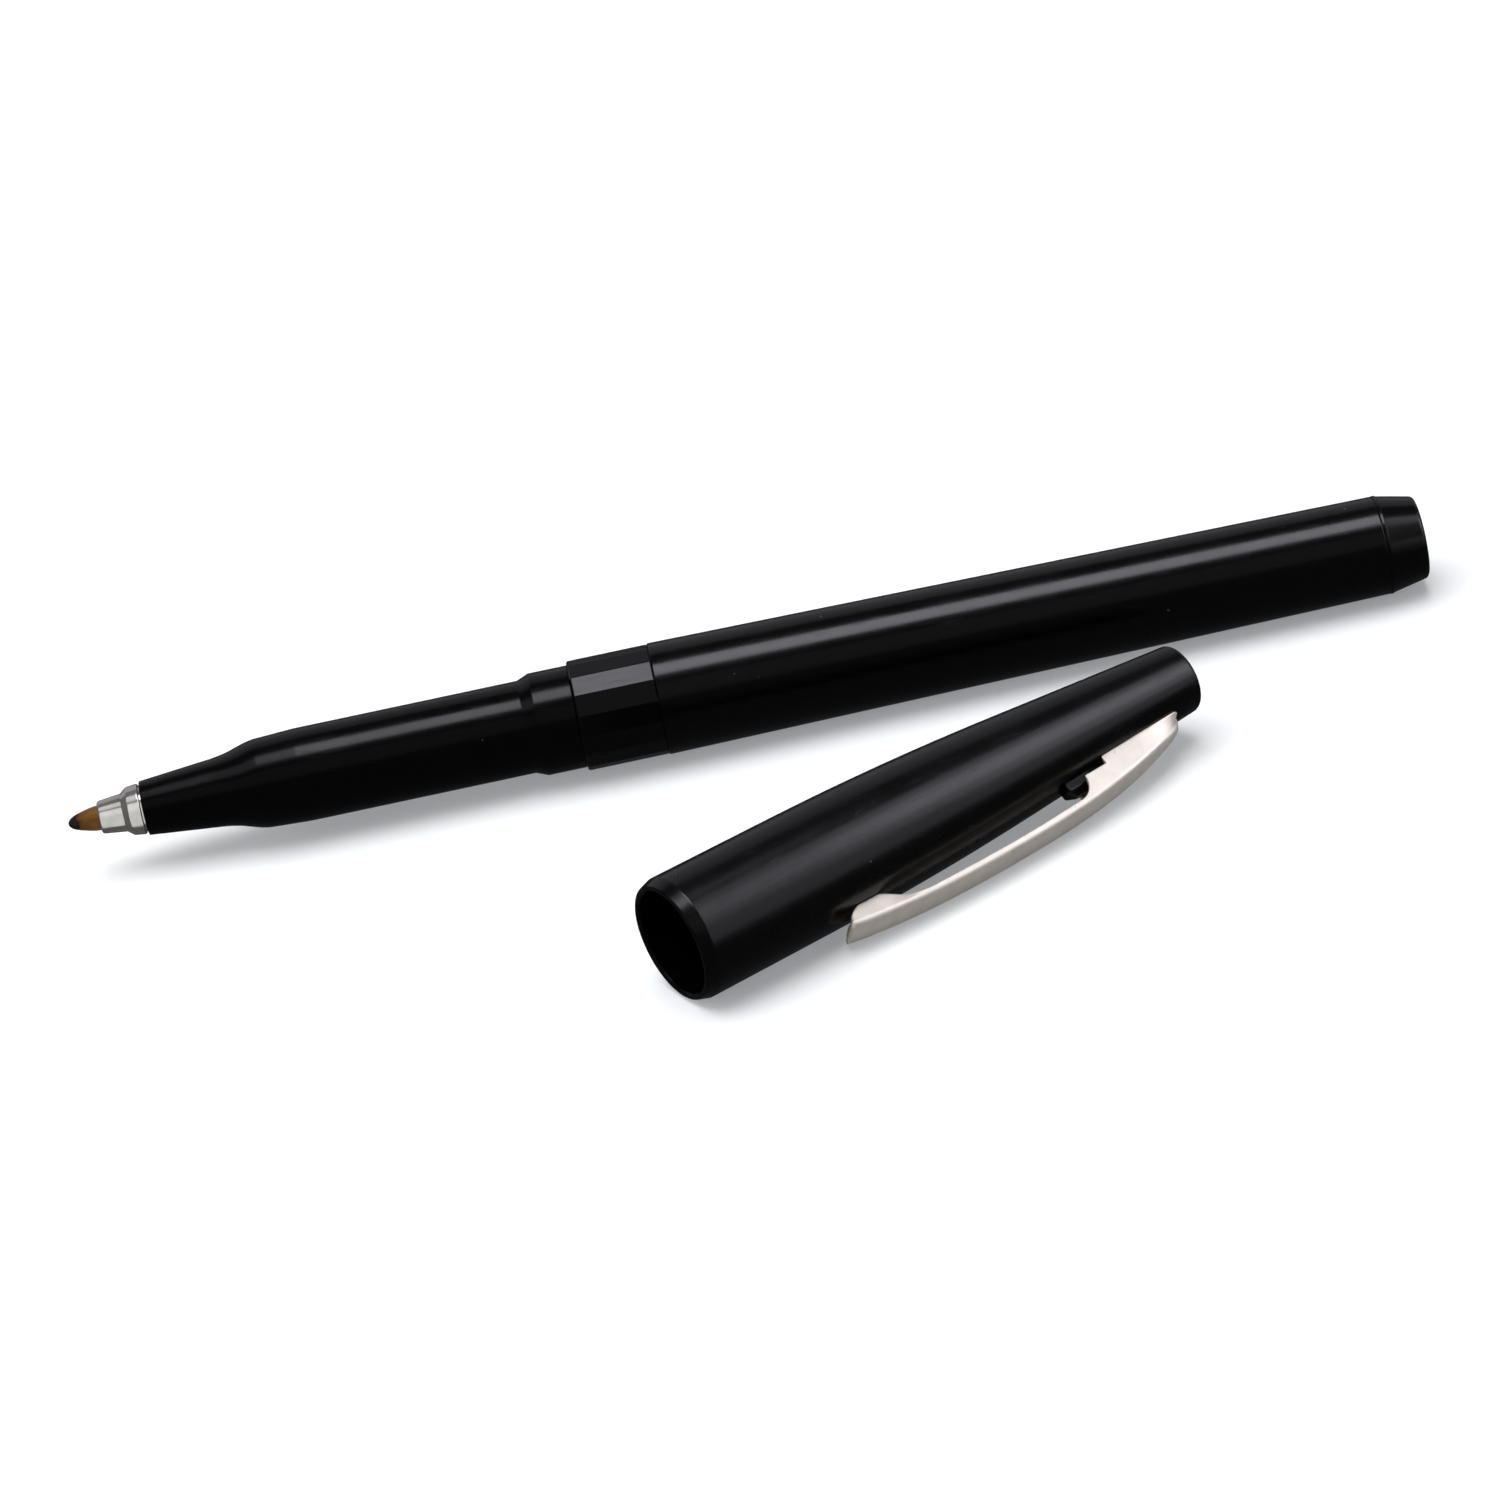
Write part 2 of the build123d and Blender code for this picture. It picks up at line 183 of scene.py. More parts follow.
def lathe(name, place, outline, body, stands_for, material, around=192, turns=None, shape=None):
    """Turned piece. An outline that starts on the axis also ends there; any other is a closed ring.
    turns lists the angles, evenly spaced if it isn't given. A point with a third value of 1 has its radius
    multiplied by shape(angle)."""
    turns = turns or [2 * pi * k / around for k in range(around)]
    around = len(turns)
    verts = []
    rings = []
    for p in outline:
        if abs(p[1]) < 1e-9:
            rings.append([len(verts)])
            verts.append((p[0], 0, 0))
            continue
        rings.append(list(range(len(verts), len(verts) + around)))
        for a in turns:
            radius = p[1] * (shape(a) if len(p) > 2 and p[2] else 1)
            verts.append((p[0], radius * cos(a), radius * sin(a)))
    pairs = list(zip(rings, rings[1:]))
    if len(rings[0]) > 1:
        pairs.append((rings[-1], rings[0]))
    faces = []
    for a, b in pairs:
        if len(a) == 1 and len(b) == 1:
            continue
        for k in range(around):
            n = (k + 1) % around
            if len(a) == 1:
                faces.append((a[0], b[k], b[n]))
            elif len(b) == 1:
                faces.append((a[k], b[0], a[n]))
            else:
                faces.append((a[k], b[k], b[n], a[n]))
    return finish_mesh(name, place, verts, faces, body, stands_for, material)


def stack(name, place, levels, body, stands_for, material, soften):
    """Block through flat outlines. Each is a (height, points) pair, all with the same number of points."""
    verts = [(x, y, z) for z, points in levels for x, y in points]
    count = len(levels[0][1])
    faces = [tuple(range(count)), tuple(range(len(verts) - count, len(verts)))]
    for k in range(len(levels) - 1):
        for i in range(count):
            j = (i + 1) % count
            faces.append((k * count + i, k * count + j, (k + 1) * count + j, (k + 1) * count + i))
    return finish_mesh(name, place, verts, faces, body, stands_for, material, soften)


# ---- materials ----
class Look:
    """A node material being built."""

    def __init__(self, name):
        self.material = bpy.data.materials.new(name)
        self.material.use_nodes = True
        self.tree = self.material.node_tree
        self.tree.nodes.clear()
        self.out = self.tree.nodes.new("ShaderNodeOutputMaterial")

    def feed(self, socket, value):
        """Links another node's output to a socket, or sets the socket's own value."""
        if isinstance(value, bpy.types.NodeSocket):
            self.tree.links.new(value, socket)
        else:
            socket.default_value = value

    def node(self, kind, props=(), **inputs):
        """New node. Inputs go by name, with _ for a space, or by number, as in i0."""
        made = self.tree.nodes.new("ShaderNode" + kind)
        for key, value in dict(props).items():
            setattr(made, key, value)
        for key, value in inputs.items():
            by_number = key[0] == "i" and key[1:].isdigit()
            self.feed(made.inputs[int(key[1:]) if by_number else key.replace("_", " ")], value)
        return made

    def place(self, scale=(1000, 1000, 1000)):
        """Coordinates on the piece, in millimetres by default."""
        source = self.node("TexCoord").outputs["Object"]
        return self.node("Mapping", Vector=source, Scale=scale).outputs["Vector"]

    def noise(self, where, scale, detail=4.0, roughness=0.5):
        made = self.node("TexNoise", Vector=where, Scale=scale, Detail=detail, Roughness=roughness)
        return made.outputs["Fac"]

    def spots(self, where, scale, inner, outer):
        """1 in small scattered dots of about inner size, fading to 0 at outer."""
        cells = self.node("TexVoronoi", {"feature": "F1"}, Vector=where, Scale=scale, Randomness=1.0)
        return self.remap(cells.outputs["Distance"], inner, outer, 1.0, 0.0)

    def remap(self, value, low, high, to_low, to_high):
        made = self.node("MapRange", i0=value, i1=low, i2=high, i3=to_low, i4=to_high)
        made.clamp = True
        return made.outputs[0]

    def mix(self, share, a, b):
        """Colour between a and b."""
        return self.node("Mix", {"data_type": "RGBA"}, i0=share, i6=a, i7=b).outputs[2]

    def math(self, operation, a, b):
        return self.node("Math", {"operation": operation}, i0=a, i1=b).outputs[0]

    def bump(self, height, strength, distance=0.01 * MM):
        return self.node("Bump", Height=height, Strength=strength, Distance=distance).outputs["Normal"]

    def surface(self, **inputs):
        shader = self.node("BsdfPrincipled", **inputs)
        self.tree.links.new(shader.outputs[0], self.out.inputs["Surface"])
        return self.material


DUST = (0.10, 0.10, 0.105, 1)
TARNISH = (0.16, 0.14, 0.12, 1)
INK = (0.012, 0.006, 0.008, 1)
SCUFFS = (260, 1500, 1500)             # noise scales along each axis, so the marks run lengthwise
STREAKS = (220, 2600, 2600)
EVEN_GRAIN = (700, 700, 700)
BRUSHED_GRAIN = (240, 4200, 4200)


def black_plastic(name, tint, roughness, gloss=0.5):
    """Glossy moulded plastic with a faint orange peel, duller where it is handled, and a few dust specks."""
    look = Look(name)
    where = look.place()
    rare = look.remap(look.noise(where, 0.13, 2.0), 0.52, 0.6, 0.0, 1.0)
    speck = look.math("MULTIPLY", look.spots(where, 0.42, 0.035, 0.06), rare)
    cloud = look.noise(where, 0.22, 5.0)
    scuff = look.noise(look.place(SCUFFS), 1.0, 6.0, 0.62)
    handled = look.remap(scuff, 0.56, 0.8, 0.0, 1.0)
    rough = look.math("ADD", look.remap(cloud, 0.3, 0.7, roughness, roughness + 0.05),
                      look.math("MULTIPLY", handled, 0.14))
    height = look.math("ADD", look.noise(where, 0.3, 2.0), look.math("MULTIPLY", speck, 0.6))
    return look.surface(
        Base_Color=look.mix(look.math("MULTIPLY", speck, 0.5), tint, DUST),
        Roughness=rough, Normal=look.bump(height, 0.3, 0.03 * MM),
        Specular_IOR_Level=gloss, IOR=1.46)


def bright_metal(name, colour, shade, roughness, stretch, metallic, grain_depth):
    """Plated metal: a cloudy tone, a few tarnished pits and a grain, scaled by stretch along each axis."""
    look = Look(name)
    grain = look.noise(look.place(stretch), 1.0, 5.0, 0.6)
    where = look.place()
    cloud = look.noise(where, 0.8, 4.0)
    pit = look.spots(where, 0.9, 0.05, 0.09)
    tone = look.mix(look.remap(cloud, 0.35, 0.7, 0.0, 1.0), colour, shade)
    tone = look.mix(look.math("MULTIPLY", pit, 0.35), tone, TARNISH)
    return look.surface(
        Base_Color=tone, Metallic=metallic, Roughness=look.remap(grain, 0.3, 0.7, roughness, roughness + 0.1),
        Normal=look.bump(grain, grain_depth))


def plain_plastic(name, colour, roughness):
    """Dull plastic or fibre, faintly cloudy."""
    look = Look(name)
    where = look.place()
    cloud = look.noise(where, 0.6, 4.0)
    fine = look.noise(where, 6.0, 3.0)
    dim = tuple(c * 0.85 for c in colour[:3]) + (1,)
    return look.surface(
        Base_Color=look.mix(look.remap(cloud, 0.3, 0.7, 0.0, 1.0), colour, dim),
        Roughness=look.remap(fine, 0.3, 0.7, roughness, roughness + 0.15), Normal=look.bump(fine, 0.2))


def nib_fibre(name):
    """Amber fibre: darker and ink-stained toward the point, with fine lengthwise streaks."""
    look = Look(name)
    where = look.place()
    station = look.node("SeparateXYZ", Vector=where).outputs["X"]
    streaks = look.noise(look.place(STREAKS), 1.0, 5.0, 0.6)
    blots = look.noise(where, 1.6, 4.0, 0.6)
    reach = look.math("ADD", station, look.remap(blots, 0.3, 0.7, -0.55, 0.55))
    stain = look.remap(reach, -56.2, -55.75, 1.0, 0.0)
    amber = (0.19, 0.084, 0.014, 1)
    brown = (0.11, 0.046, 0.008, 1)
    dark_brown = (0.085, 0.033, 0.007, 1)
    warm = look.mix(look.remap(streaks, 0.3, 0.7, 0.0, 1.0), amber, brown)
    shaded = look.mix(look.remap(station, -56.4, -54.4, 1.0, 0.0), warm, dark_brown)
    fine = look.noise(where, 9.0, 4.0)
    return look.surface(
        Base_Color=look.mix(stain, shaded, INK), Roughness=look.remap(fine, 0.3, 0.7, 0.34, 0.5),
        Normal=look.bump(look.math("ADD", fine, streaks), 0.35, 0.02 * MM), Subsurface_Weight=0.15,
        Subsurface_Radius=(1.2 * MM, 0.6 * MM, 0.3 * MM), Subsurface_Scale=1.0, Specular_IOR_Level=0.2)


PEN_BLACK = (0.0005, 0.0005, 0.0006, 1)
CAP_BLACK = (0.0006, 0.0006, 0.0008, 1)
looks = {
    "black_gloss": black_plastic("black_gloss", PEN_BLACK, 0.17),
    "section_black": black_plastic("section_black", PEN_BLACK, 0.17, 0.33),
    "cap_black": black_plastic("cap_black", CAP_BLACK, 0.215),
    "bright_metal": bright_metal("bright_metal", (0.82, 0.795, 0.75, 1), (0.72, 0.695, 0.65, 1), 0.13,
                                 EVEN_GRAIN, 0.92, 0.08),
    "clip_metal": bright_metal("clip_metal", (0.94, 0.87, 0.785, 1), (0.87, 0.795, 0.715, 1), 0.40,
                               BRUSHED_GRAIN, 0.66, 0.22),
    "nib_fibre": nib_fibre("nib_fibre"),
    "white_plastic": plain_plastic("white_plastic", (0.74, 0.73, 0.70, 1), 0.45),
    "reservoir_fibre": plain_plastic("reservoir_fibre", (0.03, 0.03, 0.04, 1), 0.8),
    "clear_film": plain_plastic("clear_film", (0.62, 0.62, 0.61, 1), 0.25),
}

# Each CAD node takes the material of its slot. The nodes that no piece below stands for show it.
for part in record["subparts"]:
    node = frame["nodes"][part["node"]]
    node.data.materials.clear()
    node.data.materials.append(looks[part["material_slot"]])

# ---- barrel: a tapered tube, bored wide for the section's spigot and narrower for the tail plug ----
EDGE = 0.12
BARREL_LENGTH = 70.2
BARREL_FRONT_RADIUS = 5.38
BARREL_BACK_RADIUS = 4.72
BARREL_BORE = 4.25
TAIL_BORE = 3.59
outline = rounded([
    (0, BARREL_BORE), (0, BARREL_FRONT_RADIUS, EDGE), (BARREL_LENGTH, BARREL_BACK_RADIUS, EDGE),
    (BARREL_LENGTH, TAIL_BORE), (63.2, TAIL_BORE), (55.2, BARREL_BORE)])
lathe("barrel_tube", PEN, outline, "pen", ["barrel"], looks["black_gloss"])

# ---- tail plug: a tapered end behind a narrow lip, with a hollow stem in the barrel ----
TAIL_LIP_RADIUS = 4.75
TAIL_LIP_END = 70.55
TAIL_END_RADIUS = 3.93
STEM_START = 64.2
STEM_HOLLOW = 2.69
outline = rounded([
    (STEM_START, TAIL_BORE), (BARREL_LENGTH, TAIL_BORE), (BARREL_LENGTH, TAIL_LIP_RADIUS, 0.08),
    (TAIL_LIP_END, TAIL_LIP_RADIUS, 0.08), (TAIL_LIP_END, 4.68, 0.03), (PEN_TAIL, TAIL_END_RADIUS, 0.45),
    (PEN_TAIL, 0), (69.7, 0), (69.7, STEM_HOLLOW), (STEM_START, STEM_HOLLOW)])
lathe("tail_end", PEN, outline, "pen", ["tail_plug"], looks["black_gloss"])

# ---- grip section: spigot, cap seat, grip, waist and nose cone in one hollow moulding ----
COLLAR_FRONT = -7.85
SPIGOT_END = 11.0
SPIGOT_RADIUS = 4.20
SEAT_RADIUS = 4.93
GRIP_RADIUS = 4.465
WAIST_START = (-38.2, 4.28)
WAIST_END = (-43.8, 3.17)
NOSE = -49.7
FERRULE_BORE = 2.15
FERRULE_BACK = -44.6
RESERVOIR_BORE = 3.45
waist = through([WAIST_START, (-41.0, 3.58), WAIST_END], (-1, -0.07), (-1, -0.085))
outline = rounded([
    (COLLAR_FRONT, SPIGOT_RADIUS), (COLLAR_FRONT, SEAT_RADIUS, 0.1), (-11.6, SEAT_RADIUS, 0.3),
    (-12.75, GRIP_RADIUS, 0.3), (-34.4, GRIP_RADIUS, 2.0), WAIST_START])
outline += waist[1:]
outline += rounded([
    (-43.9, 3.1615), (NOSE, 2.60, EDGE), (NOSE, FERRULE_BORE), (FERRULE_BACK, FERRULE_BORE),
    (FERRULE_BACK, 1.75), (-42.0, 1.75), (-37.6, RESERVOIR_BORE), (SPIGOT_END, RESERVOIR_BORE),
    (SPIGOT_END, SPIGOT_RADIUS)])
lathe("front_section", PEN, outline, "pen", ["section"], looks["section_black"])

# ---- ferrule: a thin tube with a cone, a step and a larger back ring, and a stem in the nose ----
FERRULE_FRONT = -54.0
FERRULE_RING_BACK = -49.85
NIB_HOLE = 1.22
STEM_BORE = 1.87
outline = rounded([
    (FERRULE_FRONT, NIB_HOLE), (FERRULE_FRONT, 1.56, 0.26), (-51.65, 1.84, 0.25), (-51.05, 2.32, 0.3),
    (FERRULE_RING_BACK, 2.46, 0.2), (FERRULE_RING_BACK, FERRULE_BORE), (FERRULE_BACK, FERRULE_BORE),
    (FERRULE_BACK, STEM_BORE), (-50.85, STEM_BORE), (-51.65, NIB_HOLE)])
ferrule = lathe("ferrule_shell", PEN, outline, "pen", ["ferrule"], looks["bright_metal"])

# ---- nib: a rod with a swelling cone and a ball end ----
NIB_TIP = -57.0
NIB_BACK = -31.0
NIB_RADIUS = 1.2
BALL = 0.48
BALL_STEPS = 8
BALL_HALF = radians(40)                # how far round from the tip the ball goes
ball_centre = NIB_TIP + BALL
ball_angles = [BALL_HALF * (1 - k / BALL_STEPS) for k in range(BALL_STEPS + 1)]
ball = [Vector((ball_centre - BALL * cos(a), BALL * sin(a))) for a in ball_angles]
outline = [Vector((NIB_BACK, 0)), Vector((NIB_BACK, NIB_RADIUS)), Vector((-50.0, NIB_RADIUS))]
outline += through([(FERRULE_FRONT, NIB_RADIUS), (-55.75, 0.87), ball[0]],
                   (-1, -0.03), (-sin(BALL_HALF), -cos(BALL_HALF)))
outline += ball[1:]
outline[-1].y = 0
lathe("nib_point", PEN, outline, "pen", ["nib"], looks["nib_fibre"], 96)

# ---- collar: a sixteen-sided ring between the section and the barrel ----
COLLAR_FLATS = 16
COLLAR_CORNER = radians(-5)            # one corner lies this far round from straight up
COLLAR_RADIUS = 5.2
CORNER_WEAR = 0.5                      # degrees either side of a corner
FLAT = 2 * pi / COLLAR_FLATS


def collar_shape(angle):
    """How far the sixteen-sided outline stands out from the circle inside it, its corners slightly worn."""
    off = (angle - COLLAR_CORNER) % FLAT - FLAT / 2
    return min(1 / cos(off), 1 / cos(FLAT / 2 - radians(CORNER_WEAR)))


# Angles lie close together at the corners and further apart along the flats.
from_corner = (-CORNER_WEAR, 0.0, CORNER_WEAR, 1.2, 4.0, 8.0, 11.25, 14.5, 18.5, 21.3)
collar_turns = [COLLAR_CORNER + k * FLAT + radians(a) for k in range(COLLAR_FLATS) for a in from_corner]
outline = [
    (COLLAR_FRONT, SPIGOT_RADIUS), (COLLAR_FRONT, 5.0, 1), (-7.83, 5.05, 1), (-7.7, 5.185, 1),
    (-7.64, COLLAR_RADIUS, 1), (-7.4, COLLAR_RADIUS, 1), (-0.3, COLLAR_RADIUS, 1), (-0.12, COLLAR_RADIUS, 1),
    (-0.03, 5.16, 1), (0, 5.1, 1), (0, SPIGOT_RADIUS)]
lathe("collar_ring", PEN @ Matrix.Rotation(pi / 2, 4, "X"), outline, "pen", ["collar"],
      looks["black_gloss"], turns=collar_turns, shape=collar_shape)

# ---- cap: a front cone, a gentle curve and a back cone, with a lip and a stepped hollow ----
CURVE_START = (14, 5.836)
CURVE_END = (38, 4.834)
BACK_SLOPE = -0.0775
CAP_BORE = 4.99
CAP_HALL = 4.70
LINER_RADIUS = 2.85
cap_curve = through([CURVE_START, CURVE_END], (1, -0.006), (1, BACK_SLOPE), 32)
outline = rounded([(0.22, CAP_BORE, 0.1), (0, 5.21, 0.1), (0, 5.53, 0.25), (1.2, 5.91, 0.6), (13.9, 5.8366)])
outline += cap_curve
outline += rounded([
    (38.1, 4.82625), (CAP_LENGTH, 3.2995, 0.5), (CAP_LENGTH, 0), (55.6, 0), (55.6, LINER_RADIUS, 0.3),
    (33.8, 3.85), (27, CAP_HALL), (10.5, CAP_HALL), (9.0, CAP_BORE)])
lathe("cap_tube", CAP, outline, "cap", ["cap_shell"], looks["cap_black"])

# ---- cap liner: a thin cup at the closed end ----
LINER_MOUTH = 38.8
LINER_END = 55.3
LINER_FLOOR = 54.5
outline = rounded([
    (LINER_MOUTH, 3.56), (LINER_END, 2.82), (LINER_END, 0), (LINER_FLOOR, 0), (LINER_FLOOR, 2.27, 0.3),
    (LINER_MOUTH, 3.01, 0.2)])
lathe("cap_liner_cup", CAP, outline, "cap", ["cap_liner"], looks["white_plastic"])


# ---- cap lug: a small block under the clip, narrowing at its top ----
def octagon(low, high, half, cut):
    """Rectangle with cut corners."""
    return [(low + cut, -half), (high - cut, -half), (high, -half + cut), (high, half - cut),
            (high - cut, half), (low + cut, half), (low, half - cut), (low, -half + cut)]


lug_foot = octagon(40.4, 43.8, 0.86, 0.3)
lug_top = octagon(41.2, 43.0, 0.28, 0.1)
stack("cap_lug", CLIP, [(4.1, lug_foot), (5.25, lug_foot), (5.85, lug_top)],
      "cap", None, looks["cap_black"], 0.08)

# ---- clip: a bent channel; its stations run with the cap's, its heights stand out from the cap's axis ----
CLIP_SHEET = 0.42
CLIP_HALF = 1.66
CLIP_START = 14.35
CLIP_END = 54.4
CLIP_BEND = 0.52                       # outer radius where the web turns into a side
BEND_STEPS = 6
LEAST_BEND = 0.08
LEAST_SIDE = 0.05
WEB_CROWN = 0.03
FRONT_CORNER = 0.55                    # radius of the web's two front corners, seen from outside
RIM = 0.1                              # how far a side's rounded edge stands past its full thickness
RIM_STEPS = 6
HUG_GAP = 0.06                         # space between a side's outer face and the cap
LEAN = 0.3                             # how far the ears lean in at their middle
EAR_MIDDLE = 17.8
EAR_HALF = 4.2
EAR_END = 22
NOTCH_START = 40.45
NOTCH_RADIUS = 2.0
NOTCH_END = NOTCH_START + NOTCH_RADIUS
NOTCH_FLOOR = 4.95
TOOTH = 45.0
TAPER_START = 48
back_line = through([
    (CLIP_START, 7.52), (20, 8.12), (27, 8.33), (34, 8.16), (40, 7.78), (47, 6.74), (52, 5.45),
    (CLIP_END, 3.95)], (1, 0.16), (0.35, -1), 60)
ear_line = through([
    (14.6, 7.05), (15.2, 6.3), (16.4, 5.68), (EAR_MIDDLE, 5.5), (19.3, 6.1), (20.6, 6.98), (21.9, 7.42),
    (24, 7.55), (29.5, 7.5), (33.2, 7.4), (37, 7.19), (39.2, 7.03), (NOTCH_START, 6.95)], None, None, 16)
front_line = [Vector((CLIP_START, 7.5)), ear_line[0]]


def along(line, station):
    """(Height, slope) of a curve at a station."""
    low, high = 0, len(line) - 1
    while high - low > 1:
        middle = (low + high) // 2
        if line[middle].x <= station:
            low = middle
        else:
            high = middle
    a, b = line[low], line[high]
    slope = (b.y - a.y) / (b.x - a.x)
    return a.y + slope * (station - a.x), slope


def cap_radius(station):
    """The cap's outside, from the clip's start on."""
    if station < CURVE_END[0]:
        return along(cap_curve, max(station, CURVE_START[0]))[0]
    return CURVE_END[1] + BACK_SLOPE * (station - CURVE_END[0])


def edge_height(station, half):
    """Where the clip's side ends above the cap's axis."""
    if station < ear_line[0].x:
        return along(front_line, station)[0]
    if station <= NOTCH_START:
        return along(ear_line, station)[0]
    if station < NOTCH_END:
        return NOTCH_FLOOR + (NOTCH_RADIUS ** 2 - (station - NOTCH_START) ** 2) ** 0.5
    if station <= TOOTH:
        return NOTCH_FLOOR - 0.05 * (station - NOTCH_END)
    return ((cap_radius(station) + HUG_GAP) ** 2 - half ** 2) ** 0.5


def blend_through(points, station):
    """Straight lines through (station, value) pairs."""
    for (a, u), (b, v) in zip(points, points[1:]):
        if station <= b:
            return u + (v - u) * max(station - a, 0) / (b - a)
    return points[-1][1]


def half_at_web(station):
    """Half width of the web: rounded at the front, narrowing to the closed end."""
    corner_end = CLIP_START + FRONT_CORNER
    if station < corner_end:
        return CLIP_HALF - FRONT_CORNER + (FRONT_CORNER ** 2 - (corner_end - station) ** 2) ** 0.5
    taper = [(46, CLIP_HALF), (TAPER_START, 1.6), (50, 1.43), (51, 1.3), (52, 1.13), (53, 0.92), (53.6, 0.76),
             (54.1, 0.58), (CLIP_END, 0.42)]
    return blend_through(taper, station)


def half_at_edge(station):
    """Half width at the free edges: the ears lean in, the closed end stays wide."""
    if station < EAR_END:
        return half_at_web(station) - LEAN * max(0, 1 - ((station - EAR_MIDDLE) / EAR_HALF) ** 2)
    if station < TAPER_START:
        return half_at_web(station)
    taper = [(TAPER_START, 1.6), (50, 1.57), (52, 1.53), (54.0, 1.45), (54.25, 1.38), (CLIP_END, 1.2)]
    return blend_through(taper, station)


def clip_section(station, depth):
    """Half of the channel's section at one station, from the middle of the web to the side's edge.
    depth is how far the surface lies inside the outer one."""
    height, slope = along(back_line, station)
    lean = hypot(1, slope)
    place = station + depth * slope / lean
    place = min(max(place, CLIP_START), CLIP_END)
    height -= depth / lean
    web = half_at_web(station) - depth
    rim_half = half_at_edge(station)
    edge = rim_half - depth
    hug = max((cap_radius(place) + HUG_GAP) ** 2 - rim_half ** 2, 0) ** 0.5
    bottom = max(edge_height(place, rim_half), hug) + RIM
    bottom = min(bottom, height - LEAST_SIDE)
    corner = min(max(CLIP_BEND - depth, LEAST_BEND), 0.95 * (height - bottom), 0.9 * web)
    points = [(place, share * (web - corner), height + WEB_CROWN * (1 - share ** 2))
              for share in (0, 0.3, 0.6, 0.85, 1)]
    for k in range(1, BEND_STEPS + 1):
        a = pi / 2 * k / BEND_STEPS
        points.append((place, web - corner + corner * sin(a), height - corner + corner * cos(a)))
    top = height - corner
    for share in (0.06, 0.3, 0.6, 0.9, 1.0):
        points.append((place, web + (edge - web) * share, top + (bottom - top) * share))
    return points


def clip_ring(station):
    """Closed section in two halves: outer surface, rounded edge and inner surface, and their mirror image."""
    outer = clip_section(station, 0)
    inner = clip_section(station, CLIP_SHEET)
    tip, root = Vector(outer[-1]), Vector(inner[-1])
    rim = []
    for k in range(1, RIM_STEPS):
        a = pi * k / RIM_STEPS
        round_off = RIM * min(1, 1.6 * sin(a))
        p = tip.lerp(root, (1 - cos(a)) / 2)
        rim.append((p.x, p.y, p.z - round_off))
    half = outer + rim + inner[::-1]
    other = [(x, -y, z) for x, y, z in half[-2:0:-1]]
    return half, other


# Stations lie close together at the ends and round the notch, and in pairs at the tooth's two steep sides.
NOTCH_STEPS = 14
stations = [CLIP_START + 0.1 + 0.11 * k for k in range(8)]
stations += [15.3 + 0.22 * k for k in range(int((NOTCH_START - 15.3) / 0.22))]
stations += [NOTCH_START + NOTCH_RADIUS * sin(pi / 2 * k / NOTCH_STEPS) for k in range(NOTCH_STEPS)]
stations += [NOTCH_END]
stations += [42.7 + 0.25 * k for k in range(9)] + [TOOTH + k for k in (-0.03, -0.01, 0.01, 0.03)]
stations += [45.2 + 0.2 * k for k in range(41)] + [53.3 + 0.1 * k for k in range(8)]
stations += [54.05, 54.12, 54.19, 54.25, 54.3, 54.35, 54.38, CLIP_END]

verts = []
rings = []
for station in stations:
    half, other = clip_ring(station)
    rings.append(list(range(len(verts), len(verts) + len(half) + len(other))))
    verts += half + other
ring_size = len(rings[0])
half_size = len(half)
surface_size = len(clip_section(stations[0], 0))
faces = []
for a, b in zip(rings, rings[1:]):
    for i in range(ring_size):
        n = (i + 1) % ring_size
        faces.append((a[i], a[n], b[n], b[i]))


def end_cap(ring, push):
    """Rounded cut end of the sheet, pushed outward in the middle of its thickness."""
    near = [(ring[i], ring[half_size - 1 - i]) for i in range(surface_size + 2)]
    far = [(ring[(-i) % ring_size], ring[half_size - 1 + i]) for i in range(1, surface_size + 2)]
    row = far[::-1] + near
    strips = [[a for a, b in row]]
    for k in (1, 2, 3):
        a = pi * k / 4
        strip = []
        for outer, inner in row:
            p = Vector(verts[outer]).lerp(Vector(verts[inner]), (1 - cos(a)) / 2) + Vector(push) * sin(a)
            strip.append(len(verts))
            verts.append(tuple(p))
        strips.append(strip)
    strips.append([b for a, b in row])
    for u, v in zip(strips, strips[1:]):
        for i in range(len(row) - 1):
            faces.append((u[i], u[i + 1], v[i + 1], v[i]))


end_cap(rings[0], (-0.1, 0, 0))
end_cap(rings[-1], (0.02, 0, -0.07))
finish_mesh("pocket_clip", CLIP, verts, faces, "clip", ["clip"], looks["clip_metal"])


# ---- floor: pale and dull, left out of the glossy pieces' reflections ----
def floor_sheet(name, size, material):
    """Flat square at height 0."""
    half = size / 2
    mesh = bpy.data.meshes.new(name)
    corners = [(-half, -half, 0), (half, -half, 0), (half, half, 0), (-half, half, 0)]
    mesh.from_pydata(corners, [], [(0, 1, 2, 3)])
    plane = bpy.data.objects.new(name, mesh)
    bpy.context.scene.collection.objects.link(plane)
    plane.data.materials.append(material)
    plane.visible_glossy = False


floor_look = Look("floor")
floor_look.surface(Base_Color=(0.79, 0.79, 0.79, 1), Roughness=0.9, Specular_IOR_Level=0.0,
                   Emission_Color=(0.93, 0.96, 1.0, 1), Emission_Strength=0.27)
floor_sheet("floor", 14, floor_look.material)


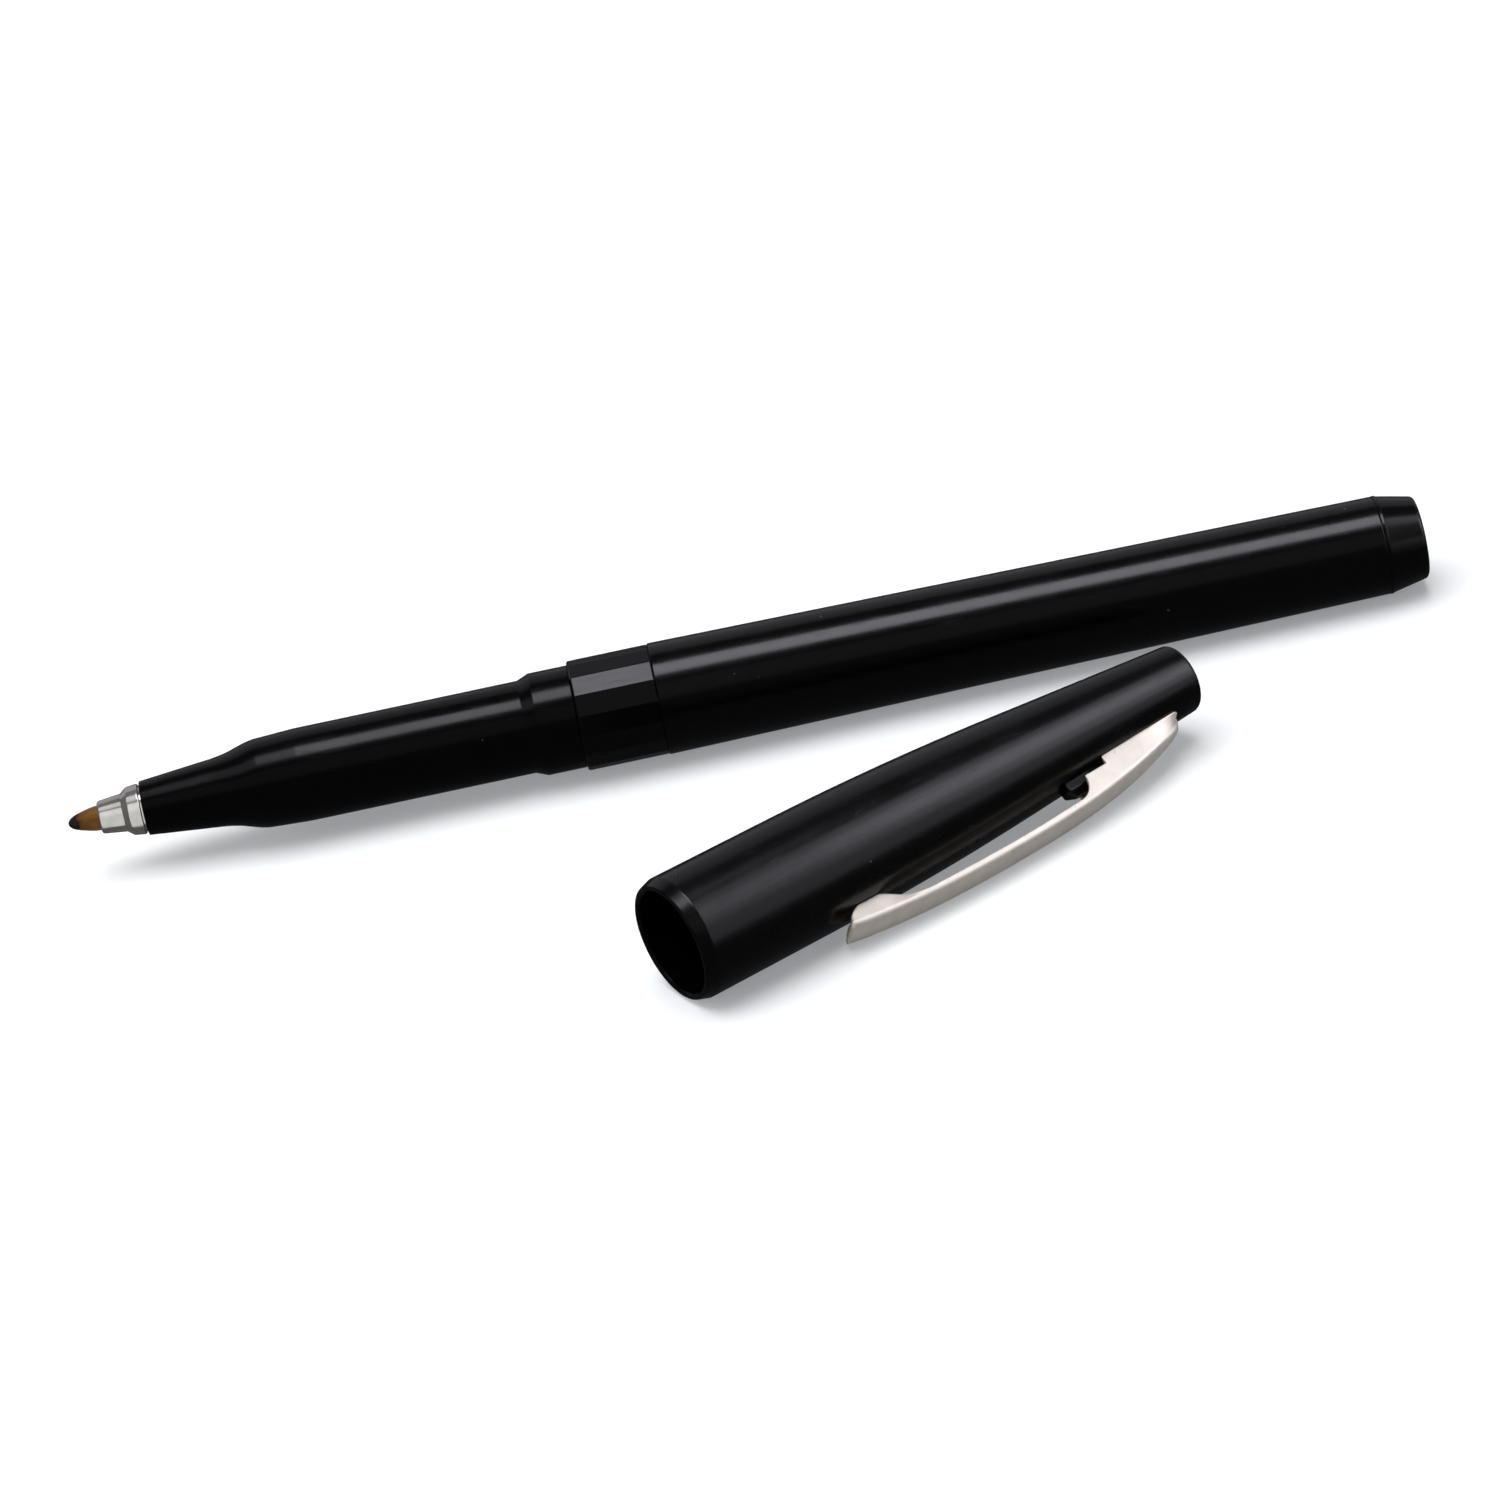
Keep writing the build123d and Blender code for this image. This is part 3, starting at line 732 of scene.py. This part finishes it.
# ---- lights: places, sizes in metres ----
def softbox(name, at, aim, size, radiance, colour, shines=True, mirrors=True, roll=0.0, only=None):
    """Rectangular light whose face has the given radiance. It lights dull surfaces if it shines, and shows
    in glossy ones if it mirrors. roll turns it about its aim, and only names the one piece that it lights."""
    light = bpy.data.lights.new(name, "AREA")
    light.shape = "RECTANGLE"
    light.size, light.size_y = size
    light.energy = radiance * size[0] * size[1] * pi
    light.color = colour
    lamp = bpy.data.objects.new(name, light)
    bpy.context.scene.collection.objects.link(lamp)
    at = Vector(at)
    way = Vector(aim) - at
    face = way.to_track_quat("-Z", "Y").to_matrix().to_4x4()
    lamp.matrix_world = Matrix.Translation(at) @ face @ Matrix.Rotation(roll, 4, "Z")
    lamp.visible_camera = False
    lamp.visible_diffuse = shines
    lamp.visible_glossy = mirrors
    if only:
        group = bpy.data.collections.new(name)
        group.objects.link(only)
        lamp.light_linking.receiver_collection = group


CENTRE = (0, 0, 0)
ABOVE_CENTRE = (0, 0, 0.3)
VIOLET = (0.93, 0.915, 1.0)
BLUE = (0.86, 0.90, 1.0)
DAY = (0.97, 0.985, 1.0)
RIGHT_ROLL = radians(-42)              # lines the right box up with the cap's axis

# These only mirror: they make the long highlights on the black plastic.
softbox("overhead", (0.17, 0.035, 2.0), (0.17, 0.035, 0), (0.9, 0.86), 4.3, VIOLET, shines=False)
softbox("back_card", (0, 2.6, 1.25), (0, 0, 0.6), (6.0, 2.5), 0.26, VIOLET, shines=False)
softbox("front_card", (0, -1.57, 1.5), CENTRE, (4.5, 1.25), 0.12, DAY, shines=False)
softbox("right_box", (1.70, -0.21, 1.38), CENTRE, (1.28, 1.78), 1.45, VIOLET, shines=False, roll=RIGHT_ROLL)
softbox("right_core", (1.68, -0.2075, 1.3638), CENTRE, (1.24, 0.8), 1.6, BLUE, shines=False, roll=RIGHT_ROLL)
softbox("right_card", (2.0, -0.7, 0.55), ABOVE_CENTRE, (3.0, 1.0), 0.6, VIOLET, shines=False)
softbox("overhead_end", (-1.1, -0.05, 2.0), (-1.1, -0.05, 0), (1.6, 1.0), 0.6, VIOLET, shines=False)
softbox("ferrule_card", (-0.06, -1.0, 0.1), (-0.06, 0, 0), (3.0, 3.4), 0.66, DAY, shines=False, only=ferrule)

# These only shine: they light the floor and the clip, and cast the soft shadows.
softbox("canopy", (-0.2, 0.15, 2.0), CENTRE, (2.2, 1.9), 3.7, DAY, mirrors=False)
softbox("left_card", (-2.0, 0.1, 1.0), (0, 0, 0.2), (4.0, 1.9), 1.7, DAY, mirrors=False)
softbox("right_fill", (2.0, -0.5, 1.0), (0, 0, 0.2), (4.0, 1.9), 0.5, DAY, mirrors=False)

world = bpy.data.worlds.new("room")
world.use_nodes = True
sky = world.node_tree.nodes["Background"]
sky.inputs["Color"].default_value = (0.95, 0.97, 1.0, 1)
sky.inputs["Strength"].default_value = 0.05
bpy.context.scene.world = world
bpy.context.scene.view_settings.view_transform = "Standard"

# ---- camera: placed from the front edge of the barrel, offset in millimetres ----
CAMERA_OFFSET = Vector((7.535, -487.11, 274.17))
CAMERA_ELEVATION = radians(30.043)
CAMERA_ROLL = radians(-11.863)
CAMERA_YAW = radians(-1.217)
LENS = 141.5

right = Vector((1, 0, 0))
forward = Vector((0, cos(CAMERA_ELEVATION), -sin(CAMERA_ELEVATION)))
up = right.cross(forward)
image_right = cos(CAMERA_ROLL) * right + sin(CAMERA_ROLL) * up
image_up = cos(CAMERA_ROLL) * up - sin(CAMERA_ROLL) * right
camera_axes = Matrix((image_right, image_up, -forward)).transposed().to_4x4()
yaw = Matrix.Rotation(CAMERA_YAW, 4, "Z")
camera_data = bpy.data.cameras.new("camera")
camera_data.lens = LENS
camera_data.sensor_width = 36
camera_data.clip_start = 0.01
camera_data.clip_end = 30
camera = bpy.data.objects.new("camera", camera_data)
bpy.context.scene.collection.objects.link(camera)
stand = Matrix.Translation(pen_origin) @ yaw @ Matrix.Translation(CAMERA_OFFSET * MM)
camera.matrix_world = stand @ camera_axes
bpy.context.scene.camera = camera

# ---- bring the scene up to date ----
bpy.context.view_layer.update()
